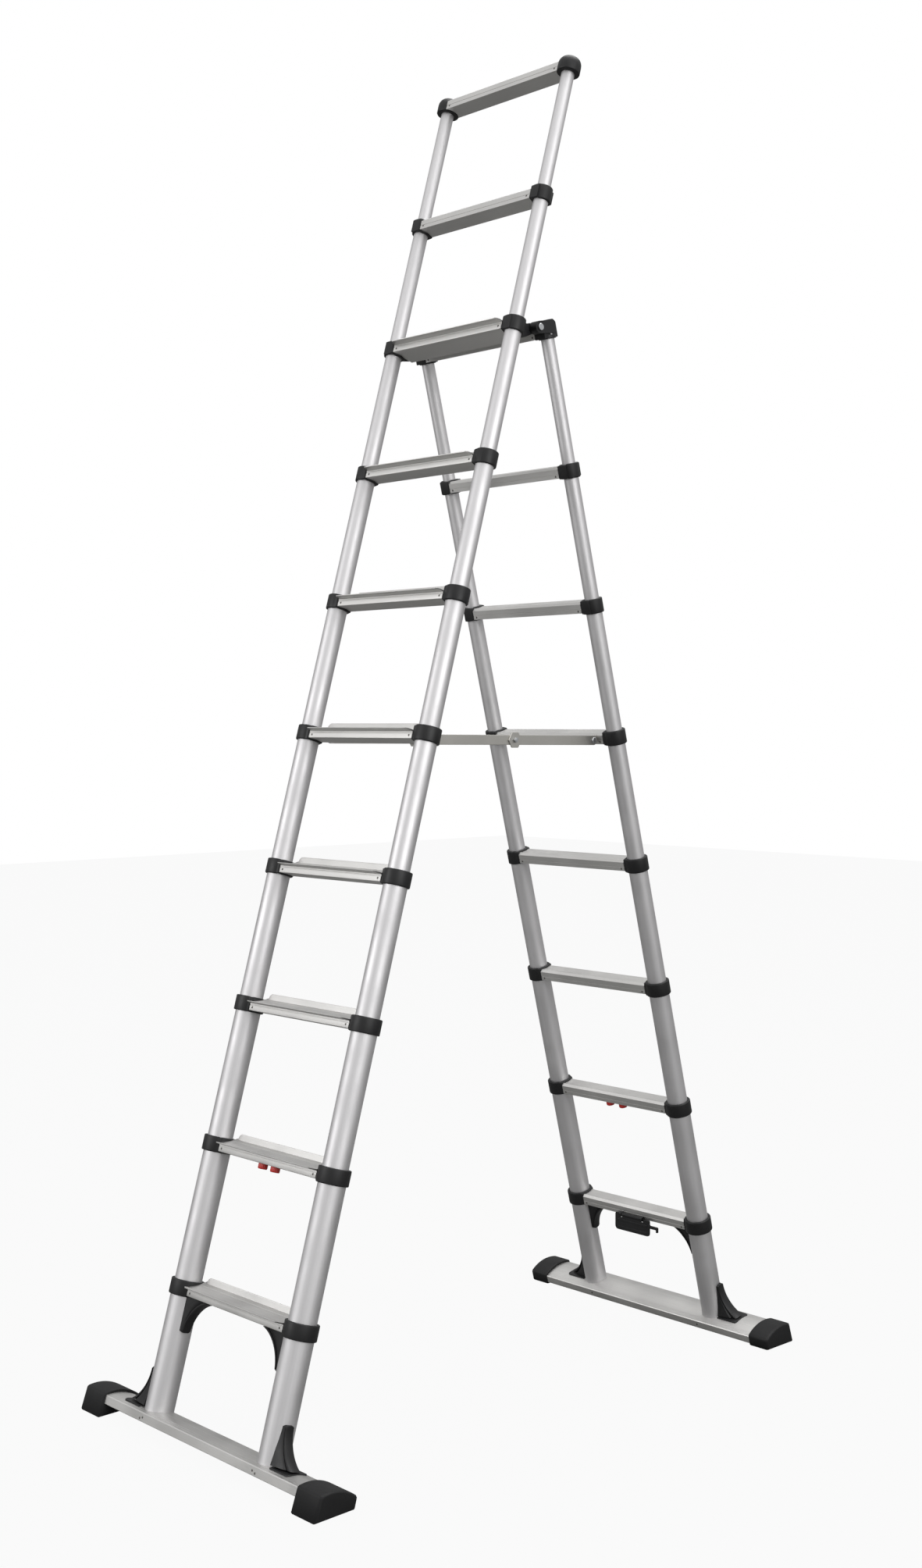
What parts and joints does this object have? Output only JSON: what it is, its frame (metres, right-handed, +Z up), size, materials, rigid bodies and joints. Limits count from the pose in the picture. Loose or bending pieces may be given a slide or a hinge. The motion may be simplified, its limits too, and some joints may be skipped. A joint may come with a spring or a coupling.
{
  "type": "telescoping ladder",
  "caption": "Extended telescoping A-frame ladder with nested round stiles, lipped treads, folding spreader stays and wide rubber-footed base bars.",
  "frame": {"origin": "on the floor, in the middle of the width and midway between the front and rear feet", "axes": "+X is the ladder's width, +Y runs from the front (climbing) ladder to the rear ladder, +Z is up"},
  "size_m": [0.78, 1.4339, 2.8499],
  "materials": {
    "aluminium": "satin anodised extrusion",
    "spreader_metal": "zinc plated flat bar",
    "black_plastic": "fine grained black nylon",
    "bracket_black": "black powder coat",
    "red_plastic": "smooth red plastic",
    "foot_rubber": "matt black rubber"
  },
  "bodies": {
    "front_section_1": {"front_stiles_1": "aluminium", "front_tread_1": "aluminium", "front_collars_1": "black_plastic", "front_base_bar": "aluminium", "front_feet": "foot_rubber", "front_braces": "black_plastic"},
    "front_section_2": {"front_stiles_2": "aluminium", "front_tread_2": "aluminium", "front_collars_2": "black_plastic"},
    "front_section_3": {"front_stiles_3": "aluminium", "front_tread_3": "aluminium", "front_collars_3": "black_plastic"},
    "front_section_4": {"front_stiles_4": "aluminium", "front_tread_4": "aluminium", "front_collars_4": "black_plastic"},
    "front_section_5": {"front_stiles_5": "aluminium", "front_tread_5": "aluminium", "front_collars_5": "black_plastic"},
    "front_section_6": {"front_stiles_6": "aluminium", "front_tread_6": "aluminium", "front_collars_6": "black_plastic"},
    "front_section_7": {"front_stiles_7": "aluminium", "front_tread_7": "aluminium", "front_collars_7": "black_plastic"},
    "front_section_8": {"front_stiles_8": "aluminium", "platform_tread": "aluminium", "front_collars_8": "black_plastic", "hinge_brackets": "bracket_black"},
    "front_section_9": {"front_stiles_9": "aluminium", "front_rung_9": "aluminium", "front_collars_9": "black_plastic"},
    "front_section_10": {"front_stiles_10": "aluminium", "top_rung": "aluminium", "front_top_caps": "black_plastic"},
    "rear_section_8": {"rear_frame_8": "aluminium", "rear_top_caps": "black_plastic"},
    "rear_section_7": {"rear_frame_7": "aluminium", "rear_collars_7": "black_plastic"},
    "rear_section_6": {"rear_frame_6": "aluminium", "rear_collars_6": "black_plastic"},
    "rear_section_5": {"rear_frame_5": "aluminium", "rear_collars_5": "black_plastic"},
    "rear_section_4": {"rear_frame_4": "aluminium", "rear_collars_4": "black_plastic"},
    "rear_section_3": {"rear_frame_3": "aluminium", "rear_collars_3": "black_plastic"},
    "rear_section_2": {"rear_frame_2": "aluminium", "rear_collars_2": "black_plastic"},
    "rear_section_1": {"rear_frame_1": "aluminium", "rear_collars_1": "black_plastic", "rear_base_bar": "aluminium", "rear_feet": "foot_rubber", "rear_braces": "black_plastic"},
    "spreader_front": {"spreader_front_arms": "spreader_metal"},
    "spreader_rear": {"spreader_rear_arms": "spreader_metal"},
    "front_release_left_button": {"front_release_left": "red_plastic"},
    "front_release_right_button": {"front_release_right": "red_plastic"},
    "rear_release_left_button": {"rear_release_left": "red_plastic"},
    "rear_release_right_button": {"rear_release_right": "red_plastic"},
    "latch": {"transport_latch": "black_plastic"}
  },
  "joints": [
    {"name": "front_slide_2", "type": "slide", "parent": "front_section_1", "child": "front_section_2", "axis": [0, 0.2773, 0.9608], "range_m": [-0.235, 0]},
    {"name": "front_slide_3", "type": "slide", "parent": "front_section_2", "child": "front_section_3", "axis": [0, 0.2773, 0.9608], "range_m": [-0.245, 0]},
    {"name": "front_slide_4", "type": "slide", "parent": "front_section_3", "child": "front_section_4", "axis": [0, 0.2773, 0.9608], "range_m": [-0.245, 0]},
    {"name": "front_slide_5", "type": "slide", "parent": "front_section_4", "child": "front_section_5", "axis": [0, 0.2773, 0.9608], "range_m": [-0.245, 0]},
    {"name": "front_slide_6", "type": "slide", "parent": "front_section_5", "child": "front_section_6", "axis": [0, 0.2773, 0.9608], "range_m": [-0.245, 0]},
    {"name": "front_slide_7", "type": "slide", "parent": "front_section_6", "child": "front_section_7", "axis": [0, 0.2773, 0.9608], "range_m": [-0.245, 0]},
    {"name": "front_slide_8", "type": "slide", "parent": "front_section_7", "child": "front_section_8", "axis": [0, 0.2773, 0.9608], "range_m": [-0.245, 0]},
    {"name": "front_slide_9", "type": "slide", "parent": "front_section_8", "child": "front_section_9", "axis": [0, 0.2773, 0.9608], "range_m": [-0.245, 0]},
    {"name": "front_slide_10", "type": "slide", "parent": "front_section_9", "child": "front_section_10", "axis": [0, 0.2773, 0.9608], "range_m": [-0.245, 0]},
    {"name": "fold", "type": "hinge", "parent": "front_section_8", "child": "rear_section_8", "pos_m": [0, 0.04626, 2.26178], "axis": [1, 0, 0], "range_deg": [-30.6, 0]},
    {"name": "rear_slide_7", "type": "slide", "parent": "rear_section_8", "child": "rear_section_7", "axis": [0, 0.2504, -0.9681], "range_m": [-0.245, 0]},
    {"name": "rear_slide_6", "type": "slide", "parent": "rear_section_7", "child": "rear_section_6", "axis": [0, 0.2504, -0.9681], "range_m": [-0.245, 0]},
    {"name": "rear_slide_5", "type": "slide", "parent": "rear_section_6", "child": "rear_section_5", "axis": [0, 0.2504, -0.9681], "range_m": [-0.245, 0]},
    {"name": "rear_slide_4", "type": "slide", "parent": "rear_section_5", "child": "rear_section_4", "axis": [0, 0.2504, -0.9681], "range_m": [-0.245, 0]},
    {"name": "rear_slide_3", "type": "slide", "parent": "rear_section_4", "child": "rear_section_3", "axis": [0, 0.2504, -0.9681], "range_m": [-0.245, 0]},
    {"name": "rear_slide_2", "type": "slide", "parent": "rear_section_3", "child": "rear_section_2", "axis": [0, 0.2504, -0.9681], "range_m": [-0.245, 0]},
    {"name": "rear_slide_1", "type": "slide", "parent": "rear_section_2", "child": "rear_section_1", "axis": [0, 0.2504, -0.9681], "range_m": [-0.22, 0]},
    {"name": "spreader_front_pivot", "type": "hinge", "parent": "front_section_5", "child": "spreader_front", "pos_m": [0, -0.22744, 1.39935], "axis": [1, 0, 0], "range_deg": [-102.81, 0]},
    {"name": "spreader_rear_pivot", "type": "hinge", "parent": "rear_section_5", "child": "spreader_rear", "pos_m": [0, 0.27091, 1.39471], "axis": [1, 0, 0], "range_deg": [0, 102.32]},
    {"name": "front_release_left_slide", "type": "slide", "parent": "front_section_2", "child": "front_release_left_button", "axis": [1, 0, 0], "range_m": [0, 0.008], "stiffness_N_per_m": 300, "springref_m": -0.01},
    {"name": "front_release_right_slide", "type": "slide", "parent": "front_section_2", "child": "front_release_right_button", "axis": [-1, 0, 0], "range_m": [0, 0.008], "stiffness_N_per_m": 300, "springref_m": -0.01},
    {"name": "rear_release_left_slide", "type": "slide", "parent": "rear_section_2", "child": "rear_release_left_button", "axis": [1, 0, 0], "range_m": [0, 0.008], "stiffness_N_per_m": 300, "springref_m": -0.01},
    {"name": "rear_release_right_slide", "type": "slide", "parent": "rear_section_2", "child": "rear_release_right_button", "axis": [-1, 0, 0], "range_m": [0, 0.008], "stiffness_N_per_m": 300, "springref_m": -0.01},
    {"name": "latch_swing", "type": "hinge", "parent": "rear_section_1", "child": "latch", "pos_m": [0, 0.57612, 0.24449], "axis": [-1, 0, 0], "range_deg": [0, 75]}
  ],
  "couplings": [
    {"joint": "spreader_front_pivot", "follows": "fold", "ratio": 3.3581},
    {"joint": "spreader_rear_pivot", "follows": "fold", "ratio": -3.3423}
  ]
}
